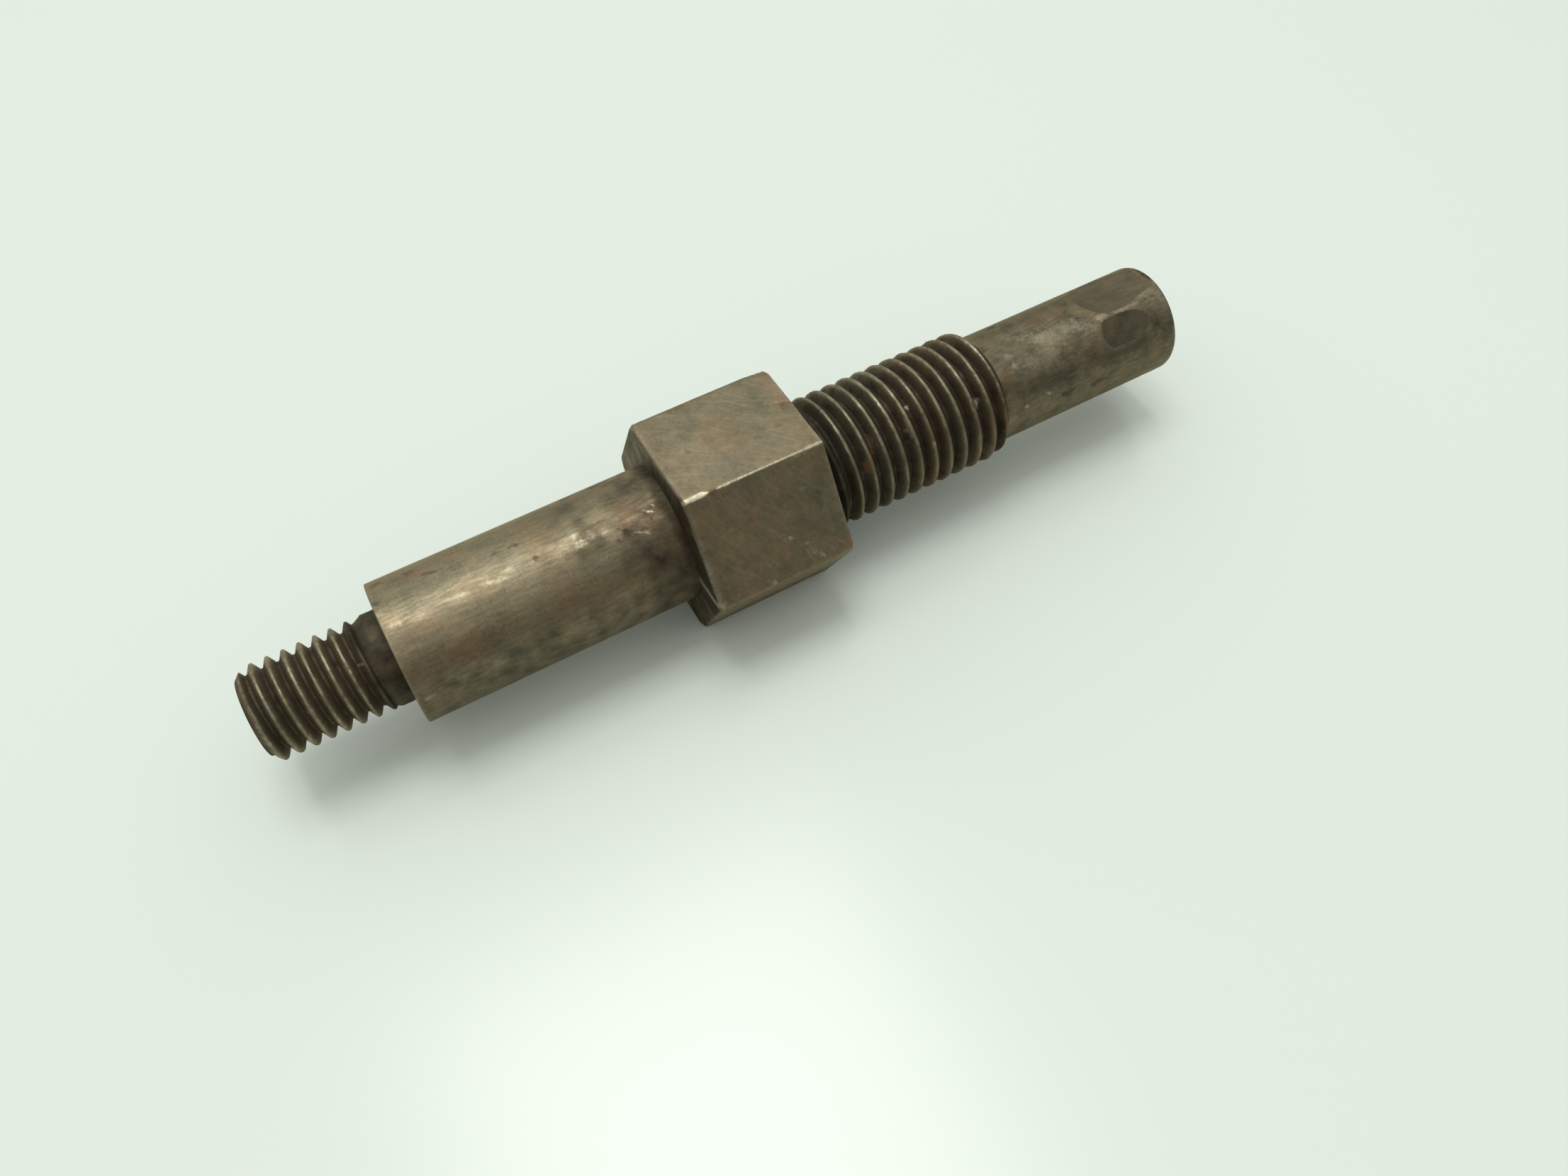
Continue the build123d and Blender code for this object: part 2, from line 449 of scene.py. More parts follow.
def journal_shape(station, azimuth, plain):
    """Journal with its knocks and a chipped rim; the middle of the end face stays plain."""
    knocks = dent_depth(station, azimuth, JOURNAL_R, JOURNAL_DENTS)
    out_of_true = JOURNAL_UNEVEN * (0.5 + 0.5 * patchy(station, azimuth))
    rim = smooth_step(STUB_START + 0.35, STUB_START, station)
    chipped = RIM_CHIPS * rim * np.clip(grainy(station, azimuth), 0.0, 1.0)
    outer = smooth_step(3.2, 5.5, plain)
    return np.minimum(plain - (knocks + out_of_true + chipped) * outer, JOURNAL_R + 0.02)


journal = turned_solid("journal", np.array(journal_outline), ROUND, journal_shape)

# ---- shank ----
SHANK_DENTS = (
    (34.2, 58.5, 0.45, 0.3, 0, 0.05),
    (32.9, 119.0, 0.25, 0.3, 0, 0.03),
    (35.3, 158.0, 0.35, 0.2, 30, 0.03),
    (41.0, 101.0, 0.3, 0.25, 30, 0.035),
    (44.6, 190.0, 0.5, 0.4, 0, 0.05),
    (38.0, 262.0, 0.6, 0.4, 20, 0.05),
    (46.5, 330.0, 0.5, 0.5, 0, 0.05),
    (37.6, 172.0, 0.9, 0.3, 0, 0.03),
)


# Distance over which a hollow's depth is averaged, and the cosine beyond which it doesn't reach.
HOLLOW_BLUR = 0.12
FLATTEST_LEAN = 0.3


def hollow_radius(station, azimuth, hollow):
    """Radius left by grinding one hollow, level across its width."""
    centre, stations, depths = hollow
    depth = sum(
        np.interp(station + step, stations, depths, left=OUTSIDE_DEPTH, right=OUTSIDE_DEPTH)
        for step in (-HOLLOW_BLUR, 0.0, HOLLOW_BLUR)
    ) / 3
    lean = np.cos(np.radians(angle_between(azimuth, centre)))
    return np.where(
        lean > FLATTEST_LEAN, (SHANK_R - depth) / np.maximum(lean, FLATTEST_LEAN), UNCUT_R
    )


# Depth of the shank's coarse and fine scale. Its worn end: depth, slope and rounding.
COARSE_SCALE, FINE_SCALE = 0.012, 0.010
END_WEAR, END_SLOPE, END_EASE = 0.12, 0.9, 0.06


def shank_shape(station, azimuth, plain):
    """Shank with scale, knocks, a worn end and both ground hollows."""
    scaly = COARSE_SCALE * (0.5 + 0.5 * patchy(station, azimuth))
    scaly += FINE_SCALE * (0.5 + 0.5 * grainy(station, azimuth))
    knocks = dent_depth(station, azimuth, SHANK_R, SHANK_DENTS)
    outer = smooth_step(2.6, 4.0, plain)
    skin = np.minimum(plain - (scaly + knocks) * outer, SHANK_R)
    worn_end = SHANK_R - END_WEAR + END_SLOPE * (SHANK_END - station)
    skin = soft_least(skin, worn_end, END_EASE)
    for hollow in (UPPER_HOLLOW, LOWER_HOLLOW):
        skin = np.minimum(skin, hollow_radius(station, azimuth, hollow))
    return np.minimum(skin, plain)


shank_outline = [[s, SHANK_R] for s in np.arange(NOSE_END - OVERLAP, SHANK_END - 0.9, 0.13)]
shank_outline += [[SHANK_END - t, SHANK_R] for t in np.arange(0.88, 0.01, -0.07)]
shank_outline += [
    [SHANK_END - 0.02, SHANK_R - 0.12],
    [SHANK_END, SHANK_R - 0.2],
    [SHANK_END, SHANK_R - 0.8],
    [SHANK_END, SHANK_R * 0.66],
    [SHANK_END, SHANK_R / 3],
]
shank = turned_solid("shank", np.array(shank_outline), ROUND, shank_shape)

# ---- head ----
CORNER_R = HEAD_HALF_FLATS / math.cos(math.radians(CORNER_STEP / 2))
# Wear land along each corner: azimuth of the corner, lean of the land's face, depths by station.
LANDS = {
    0: (4.0, ((0.0, 0.22), (0.8, 0.10), (3.0, 0.05), (9.0, 0.03), (12.5, 0.12))),
    60: (0.0, ((0.0, 0.05), (6.0, 0.03), (10.5, 0.04), (12.5, 0.35))),
    120: (
        -8.0,
        ((0.0, 0.12), (1.9, 0.11), (2.3, 0.04), (2.5, 0.0), (2.8, 0.0), (3.1, 0.06), (5.6, 0.06),
         (6.2, 0.04), (8.0, 0.05), (9.2, 0.035), (10.6, 0.045), (11.0, 0.07), (12.5, 0.07)),
    ),
    180: (-4.0, ((0.0, 0.09), (2.0, 0.04), (9.0, 0.04), (11.6, 0.05), (12.5, 0.16))),
    240: (5.0, ((0.0, 0.06), (4.0, 0.02), (8.0, 0.07), (12.5, 0.05))),
    300: (-3.0, ((0.0, 0.04), (5.0, 0.06), (12.5, 0.03))),
}
HEAD_DENTS = (
    (7.5, 161.5, 0.3, 0.2, 30, 0.05),
    (5.05, 177.0, 0.3, 0.25, 0, 0.05),
    (9.7, 174.5, 0.35, 0.2, 30, 0.05),
    (9.45, 126.0, 0.25, 0.22, 0, 0.04),
    (3.3, 164.0, 0.25, 0.25, 0, 0.03),
    (2.9, 92.0, 0.35, 0.2, 50, 0.025),
    (9.0, 97.0, 0.2, 0.2, 0, 0.03),
    (6.2, 33.0, 0.5, 0.3, 20, 0.06),
    (9.4, 8.0, 0.4, 0.5, 0, 0.07),
    (4.0, 212.0, 0.5, 0.4, 0, 0.06),
    (8.8, 331.0, 0.6, 0.25, 60, 0.05),
)


def hexagon_radius(azimuth, half_flats):
    """Radius of a sharp hexagon with corners at multiples of 60 degrees."""
    off = (azimuth % CORNER_STEP) - CORNER_STEP / 2
    return half_flats / np.cos(np.radians(off))


def land_radius(station, azimuth):
    """Radius left by the worn lands along the six corners."""
    radius = np.full_like(station, UNCUT_R)
    for corner, (lean, depths) in LANDS.items():
        stations, deep = zip(*depths)
        deep = np.interp(station, stations, deep)
        deep = deep * (1.0 + 0.25 * patchy(3.0 * station, azimuth * 0.0 + corner))
        plane = CORNER_R * math.cos(math.radians(lean)) - deep
        off = angle_between(azimuth, corner + lean)
        land = np.where(np.abs(off) < 30.0, plane / np.cos(np.radians(off)), UNCUT_R)
        radius = np.minimum(radius, land)
    return radius


# Rounding where lands and trimmed corners meet the flats, and how uneven the faces are.
LAND_EASE, TRIM_EASE = 0.06, 0.03
HEAD_UNEVEN = 0.006
TRIM_ANGLE = 60


def head_radius(station, azimuth, inset):
    """Radius of the head at full width less an inset, with its corners trimmed and worn."""
    flats = hexagon_radius(azimuth, HEAD_HALF_FLATS - inset)
    trim = CORNER_R - HEAD_TRIM + station * math.tan(math.radians(TRIM_ANGLE))
    radius = soft_least(flats, land_radius(station, azimuth) - inset, LAND_EASE)
    radius = soft_least(radius, trim, TRIM_EASE)
    uneven = HEAD_UNEVEN * (0.5 + 0.5 * patchy(station, azimuth))
    knocks = dent_depth(station, azimuth, radius, HEAD_DENTS)
    knocks = np.where(np.abs(angle_between(azimuth, 90.0)) < 30, np.maximum(knocks, 0), knocks)
    return np.minimum(radius - uneven - knocks, flats)


near_corner = np.array([0, 0.12, 0.24, 0.36, 0.5, 0.65, 0.85, 1.1, 1.4, 1.8, 2.3, 3.0])
past_corner = np.arange(4.0, 30.5, 1.0)
half = np.concatenate([near_corner, past_corner])
sixth = np.concatenate([half, 60.0 - half[-2:0:-1]])
head_azimuths = np.concatenate([sixth + corner for corner in range(0, 360, CORNER_STEP)])

head_rings = []
for t in (1.0, 0.8, 0.6, 0.4, 0.25, 0.12, 0.04):
    rim = head_radius(np.zeros_like(head_azimuths), head_azimuths, HEAD_EDGE)
    head_rings.append((np.zeros_like(rim), rim * (1 - t) + 5.0 * t))
for t in (0.0, 0.12, 0.25, 0.4, 0.55, 0.7, 0.85, 1.0):
    s = HEAD_EDGE * (1 - math.cos(t * math.pi / 2)) + 0.0 * head_azimuths
    inset = HEAD_EDGE * (1 - math.sin(t * math.pi / 2))
    head_rings.append((s, head_radius(s, head_azimuths, inset)))
for s in np.arange(HEAD_EDGE + 0.1, HEAD_LENGTH - 0.15, 0.14):
    ring = s + 0.0 * head_azimuths
    head_rings.append((ring, head_radius(ring, head_azimuths, 0.0)))
for t in (1.0, 0.5, 0.0):
    ring = HEAD_LENGTH - HEAD_FAR_EDGE * t + 0.0 * head_azimuths
    head_rings.append((ring, head_radius(ring, head_azimuths, HEAD_FAR_EDGE * (1 - t))))
for t in (0.05, 0.2, 0.4, 0.7, 1.0):
    ring = HEAD_LENGTH + 0.0 * head_azimuths
    rim = head_radius(ring, head_azimuths, HEAD_FAR_EDGE)
    head_rings.append((ring, rim * (1 - t) + 4.0 * t))
head = ringed_solid(
    "head",
    np.array([ring[0] for ring in head_rings]),
    head_azimuths,
    np.array([ring[1] for ring in head_rings]),
    HEAD_SHARP,
)

# ---- wear, painted shade and painted highlights on the pieces ----
# Marks: station, azimuth, half length, half width, slant, strength.
JOURNAL_FLECKS_AND_GLINTS = (
    (-22.6, 108, 0.6, 0.2, 0, 0.30),
    (-21.0, 111, 0.8, 0.25, 0, 0.22),
    (-17.8, 109, 1.2, 0.3, 5, 0.20),
    (-14.6, 110, 1.0, 0.2, 5, 0.32),
    (-13.6, 106, 0.5, 0.12, 0, 0.25),
    (-9.0, 107, 0.35, 0.3, 0, 0.30),
    (-7.9, 102, 0.3, 0.35, 0, 0.35),
    (-7.7, 111, 0.7, 0.35, 0, 0.50),
    (-6.8, 108, 0.35, 0.3, 0, 0.35),
    (-5.7, 109, 0.35, 0.3, 0, 0.30),
    # Painted glints on the knocks by the head, over exposed metal.
    (-3.1, 121, 0.45, 0.10, 25, 0.9),
    (-1.7, 109, 0.40, 0.10, 40, 0.8),
    (-1.3, 105, 0.30, 0.09, 60, 0.6),
    (-22.9, 171, 0.35, 0.3, 0, 0.35),
)
JOURNAL_STAINS = (
    (-11.3, 105.5, 0.32, 0.3, 0, 0.45),
    (-12.3, 87.5, 0.3, 0.25, 0, 0.5),
    (-23.4, 85.5, 0.25, 0.3, 0, 0.6),
    (-14.0, 88.0, 0.35, 0.25, 0, 0.35),
    (-20.3, 66.0, 0.5, 0.3, 0, 0.55),
    (-19.0, 78.0, 0.8, 0.2, 20, 0.4),
    (-22.9, 62.0, 0.4, 0.3, 0, 0.5),
    (-18.3, 147.0, 3.0, 1.0, 0, 0.35),
    (-16.6, 152.0, 0.8, 0.3, 0, 0.5),
    (-4.1, 116.5, 0.5, 0.6, 0, 0.6),
    (-4.5, 133.0, 0.5, 0.6, 0, 0.6),
    (-3.2, 124.0, 0.4, 0.4, 0, 0.55),
    (-2.6, 150.0, 2.4, 2.6, 0, 0.6),
    (-1.2, 88.0, 0.8, 1.0, 0, 0.45),
)
JOURNAL_RUST = (
    (-22.9, 62.0, 0.4, 0.35, 0, 0.8),
    (-16.8, 66.0, 0.8, 0.25, 0, 0.5),
    (-20.9, 75.0, 0.4, 0.25, 0, 0.4),
    (-2.1, 117.0, 0.5, 0.35, 20, 0.3),
    (-0.9, 106.0, 0.4, 0.4, 0, 0.3),
)
JOURNAL_WARM = (
    (-18.2, 146.0, 3.2, 1.2, 0, 0.9),
    (-5.8, 144.0, 1.4, 1.1, 0, 0.8),
    (-2.6, 108.0, 2.6, 2.8, 0, 0.9),
    (-13.0, 140.0, 2.0, 0.8, 0, 0.5),
    (-20.0, 70.0, 2.4, 0.9, 0, 0.5),
)
HEAD_WARM = (
    (6.0, 88.0, 2.4, 2.6, 30, 0.45),
    (1.4, 84.0, 1.6, 0.9, 0, 0.5),
    (1.8, 101.0, 1.8, 0.8, 0, 0.6),
    (11.7, 66.0, 0.8, 1.2, 0, 0.6),
    (1.0, 130.0, 0.8, 0.8, 0, 0.7),
    (1.1, 147.0, 0.9, 1.3, 0, 0.8),
    (7.9, 124.0, 0.9, 0.5, 0, 0.6),
    (5.2, 143.5, 0.6, 0.6, 0, 0.7),
    (10.8, 123.0, 0.7, 0.5, 0, 0.5),
)
HEAD_RUST = (
    (4.3, 61.5, 0.7, 0.3, 0, 0.5),
    (11.9, 87.5, 0.8, 0.2, 20, 0.8),
    (10.2, 99.7, 0.3, 0.25, 0, 0.4),
    (12.1, 175.0, 0.4, 0.5, 0, 0.5),
    (5.2, 143.5, 0.35, 0.35, 0, 0.3),
    (2.0, 101.5, 0.3, 0.25, 0, 0.3),
    (8.2, 20.0, 0.9, 0.4, 30, 0.5),
    (3.2, 340.0, 0.7, 0.6, 0, 0.5),
)
HEAD_STAINS = (
    (9.0, 97.0, 0.25, 0.2, 0, 0.35),
    (2.9, 92.0, 0.3, 0.15, 50, 0.3),
    (8.2, 102.0, 0.5, 0.12, 20, 0.25),
    (3.2, 164.0, 0.4, 0.4, 0, 0.3),
    (11.7, 90.0, 0.5, 0.3, 0, 0.3),
    (9.9, 176.5, 0.25, 0.12, 0, 0.6),
    (7.7, 163.0, 0.15, 0.12, 0, 0.6),
)
HEAD_FLECKS_AND_REFLECTION = (
    (0.15, 178.0, 0.5, 0.5, 0, 0.7),
    (7.55, 161.0, 0.2, 0.13, 30, 1.0),
    (5.05, 178.6, 0.2, 0.16, 0, 1.0),
    (9.6, 175.8, 0.35, 0.13, 35, 0.9),
    (9.1, 173.0, 0.2, 0.1, 20, 0.5),
    (9.45, 125.4, 0.22, 0.12, 0, 0.8),
    (10.2, 120.6, 0.25, 0.12, 0, 0.8),
    (3.05, 142.2, 0.3, 0.06, 0, 0.5),
    (7.7, 142.4, 0.25, 0.06, 0, 0.5),
    (6.7, 157.0, 0.3, 0.06, 0, 0.5),
    (9.6, 137.0, 0.25, 0.06, 0, 0.5),
    (8.7, 167.0, 0.5, 0.07, 10, 0.5),
    # Painted reflection: the lower front facet lightened as if it reflected the floor.
    (6.2, 210.0, 9.0, 4.5, 0, 0.15),
    (2.4, 96.0, 2.6, 3.2, 0, 0.12),
    (2.6, 88.0, 0.5, 0.07, -50, 0.5),
    (11.4, 84.0, 0.5, 0.08, 20, 0.5),
)
SHANK_RUST = (
    (37.2, 78.0, 0.5, 0.4, 20, 0.55),
    (40.3, 80.0, 0.45, 0.25, 25, 0.9),
    (42.0, 93.0, 0.45, 0.3, 30, 0.4),
    (42.6, 101.0, 0.35, 0.18, 45, 0.4),
    (39.5, 215.0, 0.8, 0.5, 0, 0.5),
    (34.0, 285.0, 0.6, 0.7, 0, 0.5),
)
SHANK_WARM = (
    (31.9, 134.0, 1.0, 1.0, 0, 0.9),
    (31.6, 92.0, 0.8, 0.5, 0, 0.6),
    (39.8, 96.0, 0.6, 0.7, 20, 0.7),
    (41.9, 95.0, 0.7, 0.6, 30, 0.4),
    (45.5, 92.0, 1.3, 0.9, 20, 0.5),
)
SHANK_BARE = (
    (34.9, 95.0, 0.9, 0.45, 25, 0.24),
    (36.4, 103.6, 1.1, 0.6, 20, 0.30),
    (37.6, 111.0, 1.8, 0.9, 20, 0.24),
    (39.0, 105.0, 1.4, 0.7, 20, 0.24),
    (40.6, 110.0, 1.0, 0.6, 25, 0.36),
    (41.6, 116.5, 0.8, 0.4, 30, 0.36),
    (43.2, 111.0, 1.0, 0.3, 0, 0.45),
    (45.6, 112.5, 1.6, 0.2, 0, 0.30),
    (33.0, 109.6, 0.3, 0.35, 0, 0.35),
    (33.0, 119.8, 0.3, 0.4, 0, 0.35),
    (35.5, 161.6, 0.35, 0.12, 30, 0.6),
    (33.1, 165.0, 0.22, 0.12, 0, 0.5),
    (36.0, 124.0, 2.4, 0.9, 0, 0.22),
    (48.2, 106.0, 0.9, 0.6, 0, 0.3),
    (49.2, 113.0, 0.4, 1.4, 0, 0.25),
)
SHANK_STAINS = (
    (34.2, 58.5, 0.5, 0.25, 0, 0.8),
    (40.9, 101.0, 0.35, 0.2, 30, 0.5),
    (37.6, 172.0, 0.9, 0.35, 0, 0.6),
    (41.0, 176.0, 1.2, 0.3, 0, 0.5),
    (44.0, 152.0, 4.5, 0.7, 0, 0.25),
    (36.0, 150.0, 3.0, 0.9, 0, 0.25),
)
NOSE_RUST = (
    (16.9, 147.5, 0.4, 1.0, 20, 0.6),
    (17.8, 131.0, 0.3, 1.0, 0, 0.35),
    (24.0, 250.0, 0.6, 0.9, 0, 0.6),
)
NOSE_FLECKS = (
    (19.8, 81.0, 0.25, 0.25, 0, 0.4),
    (22.2, 115.0, 0.2, 0.2, 0, 1.0),
    (23.0, 154.0, 0.17, 0.2, 0, 0.7),
    (28.1, 138.0, 0.32, 0.38, 0, 0.55),
    (21.6, 147.0, 0.2, 0.2, 0, 0.5),
    (21.3, 131.0, 0.2, 1.1, 0, 0.35),
    (23.0, 97.0, 0.2, 0.15, 40, 0.4),
    (25.9, 108.0, 0.15, 0.2, 0, 0.4),
)
STUB_FLECKS = (
    (-26.3, 123.0, 0.35, 0.12, 20, 1.0),
    (-31.0, 150.0, 0.3, 0.2, 0, 0.3),
)

station, radius, azimuth = polar(stub)
root = STUB_R - THREAD_DEPTH_PER_PITCH * STUB_PITCH
height = np.clip((radius - root) / (STUB_R - root), 0.0, 1.0)
neck = smooth_step(STUB_RUNOUT_AT - 0.3, STUB_RUNOUT_AT + 0.3, station)
off_crest = crest_distance(station, azimuth, STUB_PITCH, STUB_CREST)
crest = smooth_step(0.30, 0.10, off_crest) * (0.6 + 0.4 * smooth_step(0.02, 0.08, off_crest))
crest *= smooth_step(0.3, 0.55, height) * (1 - neck)
crest *= smooth_step(STUB_RUNOUT_AT + 0.2, STUB_RUNOUT_AT - 1.0, station)
paint(
    stub,
    soil=np.maximum(
        0.55 + 0.25 * smooth_step(0.15, 0.05, height) - 0.5 * smooth_step(0.45, 0.95, height),
        0.8 * neck,
    ),
    bare=np.maximum(
        crest * (0.32 + 0.3 * grainy(station, azimuth)),
        mark_share(station, azimuth, radius, STUB_FLECKS),
    ),
    warm=0.4 + 0.3 * broad(station, azimuth) + 0.5 * smooth_step(0.7, 0.3, height),
    scale=0.6,
)

station, radius, azimuth = polar(nose)
root = NOSE_R - THREAD_DEPTH_PER_PITCH * NOSE_PITCH
height = np.clip((radius - root) / (NOSE_R - root), 0.0, 1.0)
off_crest = crest_distance(station, azimuth, NOSE_PITCH, NOSE_CREST)
crest = smooth_step(0.19, 0.12, off_crest) * (0.45 + 0.55 * smooth_step(0.03, 0.10, off_crest))
crest *= smooth_step(0.3, 0.55, height) * smooth_step(HEAD_LENGTH + 1.9, HEAD_LENGTH + 2.6, station)
crest *= smooth_step(NOSE_END - 0.05, NOSE_END - 0.2, station)
paint(
    nose,
    soil=np.maximum(
        0.79
        + 0.21 * smooth_step(0.15, 0.05, height)
        - smooth_step(0.5, 1.0, height) * (0.65 + 0.2 * patchy(station, azimuth)),
        smooth_step(HEAD_LENGTH + 2.6, HEAD_LENGTH + 1.8, station),
    ),
    # Worn bright crests, made dimmer on the lower side as painted shade and brighter on the last
    # crest as a painted highlight.
    bare=np.maximum(
        crest
        * (0.2 + 0.8 * smooth_step(152.0, 128.0, azimuth))
        * (1.0 + 1.2 * smooth_step(29.8, 30.2, station))
        * (0.36 + 0.3 * grainy(station, azimuth) + 0.15 * patchy(station, azimuth)),
        mark_share(station, azimuth, radius, NOSE_FLECKS),
    ),
    rust=mark_share(station, azimuth, radius, NOSE_RUST),
    warm=smooth_step(17.0, 25.0, station) * 0.8 + 0.45 * broad(station, azimuth),
    scale=0.6,
)

station, radius, azimuth = polar(journal)
# Darker band next to the head: grime in the corner and painted shade of the recess.
by_head = smooth_step(-1.8, -0.3, station) * 0.8
# Painted shade: the journal darker towards its underside.
painted_underside_shade = smooth_step(50.0, 90.0, np.abs(angle_between(azimuth, 80.0)))
painted_underside_shade *= 0.42 + 0.15 * patchy(station, azimuth)
tarnish = smooth_step(-13.0, -6.0, station) * (0.28 + 0.25 * patchy(station, azimuth))
tarnish *= smooth_step(150.0, 110.0, azimuth)
# Darker and browner on the lower front side towards the head.
dark_side = smooth_step(-8.0, -2.5, station) * smooth_step(105.0, 130.0, azimuth)
dark_side *= smooth_step(240.0, 200.0, azimuth) * (0.66 + 0.15 * patchy(station, azimuth))
rim = smooth_step(STUB_START + 0.3, STUB_START + 0.05, station)
brown_side = smooth_step(20.0, 5.0, np.abs(angle_between(azimuth, 145.0)))
paint(
    journal,
    soil=np.maximum.reduce(
        [
            by_head,
            tarnish,
            dark_side,
            painted_underside_shade,
            mark_share(station, azimuth, radius, JOURNAL_STAINS),
        ]
    ),
    bare=np.maximum(0.2 * rim, mark_share(station, azimuth, radius, JOURNAL_FLECKS_AND_GLINTS)),
    rust=mark_share(station, azimuth, radius, JOURNAL_RUST),
    warm=np.maximum.reduce(
        [
            0.2 + 0.3 * broad(station, azimuth),
            brown_side * (0.7 + 0.4 * broad(station, azimuth)),
            0.9 * dark_side,
            mark_share(station, azimuth, radius, JOURNAL_WARM),
        ]
    ),
    scale=0.35,
)

station, radius, azimuth = polar(head)
end_face = smooth_step(0.16, 0.03, station)
# Painted shade on the head's end face and its bevel: near the journal from the top, and all over on
# the front and lower side.
shaded = smooth_step(8.6, 6.9, radius) * smooth_step(60.0, 100.0, azimuth)
shaded = np.maximum(shaded, smooth_step(100.0, 125.0, azimuth)) * (azimuth < 250.0)
shaded *= 0.65 + 0.35 * smooth_step(200.0, 180.0, azimuth)
near_rim = smooth_step(0.75, 0.2, station) * (1 - end_face)
far_rim = smooth_step(HEAD_LENGTH - 0.5, HEAD_LENGTH - 0.1, station)
on_land = smooth_step(
    0.03, -0.05, land_radius(station, azimuth) - hexagon_radius(azimuth, HEAD_HALF_FLATS)
)
near_land = np.abs(angle_between(azimuth, 120.0)) < 10.0
gap = smooth_step(0.45, 0.2, np.abs(station - 2.65))
on_land *= np.where(near_land, 0.85 * (1 - gap) + 0.1 * grainy(station, azimuth), 0.10)
paint(
    head,
    soil=np.maximum.reduce(
        [
            end_face * (0.45 + 0.6 * shaded + 0.15 * (1 - shaded) * patchy(station, azimuth)),
            0.8 * shaded * smooth_step(0.34, 0.22, station),
            0.4 * gap * smooth_step(3.2, 0.5, np.abs(angle_between(azimuth, 121.0))),
            # Painted shade: every face but the top and the upper back one a little darker.
            0.1 * smooth_step(115.0, 125.0, azimuth),
            mark_share(station, azimuth, radius, HEAD_STAINS),
        ]
    ),
    bare=np.maximum.reduce(
        [
            near_rim * (0.2 + 0.15 * smooth_step(130.0, 160.0, azimuth) * (azimuth < 182.0)),
            far_rim * (0.15 + 0.15 * grainy(station, azimuth)),
            on_land * (1 - end_face),
            mark_share(station, azimuth, radius, HEAD_FLECKS_AND_REFLECTION),
        ]
    ),
    rust=mark_share(station, azimuth, radius, HEAD_RUST),
    warm=np.maximum(
        0.15 + 0.35 * broad(station, azimuth) + 0.35 * smooth_step(115.0, 125.0, azimuth),
        mark_share(station, azimuth, radius, HEAD_WARM),
    ),
    scale=0.5,
)

station, radius, azimuth = polar(shank)
upper = radius - hollow_radius(station, azimuth, UPPER_HOLLOW)
lower = radius - hollow_radius(station, azimuth, LOWER_HOLLOW)
in_upper = smooth_step(-0.012, 0.0, upper)
in_lower = smooth_step(-0.012, 0.0, lower)
ground = np.maximum(in_upper, in_lower)
lower_rim = smooth_step(-0.16, -0.02, lower) * (azimuth > 138.0) * (1 - ground)
end_rim = smooth_step(SHANK_END - 0.6, SHANK_END - 0.1, station)
paint(
    shank,
    soil=np.maximum(
        (1 - ground) * mark_share(station, azimuth, radius, SHANK_STAINS),
        0.22 * in_upper + 0.47 * in_lower,
    ),
    bare=np.maximum.reduce(
        [
            (1 - ground) * mark_share(station, azimuth, radius, SHANK_BARE),
            0.16 * lower_rim,
            0.4 * end_rim * (0.6 + 0.4 * grainy(station, azimuth)),
        ]
    ),
    rust=(1 - ground) * mark_share(station, azimuth, radius, SHANK_RUST),
    warm=np.maximum(
        0.1 + 0.35 * broad(station, azimuth), mark_share(station, azimuth, radius, SHANK_WARM)
    ),
    scale=1.0 - 0.85 * ground,
)

# ---- materials ----
OLIVE = (0.138, 0.118, 0.076)
BROWN = (0.138, 0.101, 0.060)
# Grime colours, also used for the painted shade.
GREY_GRIME_AND_SHADE = (0.026, 0.023, 0.014)
BROWN_GRIME_AND_SHADE = (0.032, 0.021, 0.013)
# Exposed steel, also used for the painted highlights and reflection.
BARE_AND_SHEEN = (0.40, 0.36, 0.26)
RUST = (0.17, 0.072, 0.024)
EDGE_TINT = (0.78, 0.71, 0.56)


# Sockets A, B and Result of a Mix node that mixes colours.
MIX_A, MIX_B, MIXED = 6, 7, 2


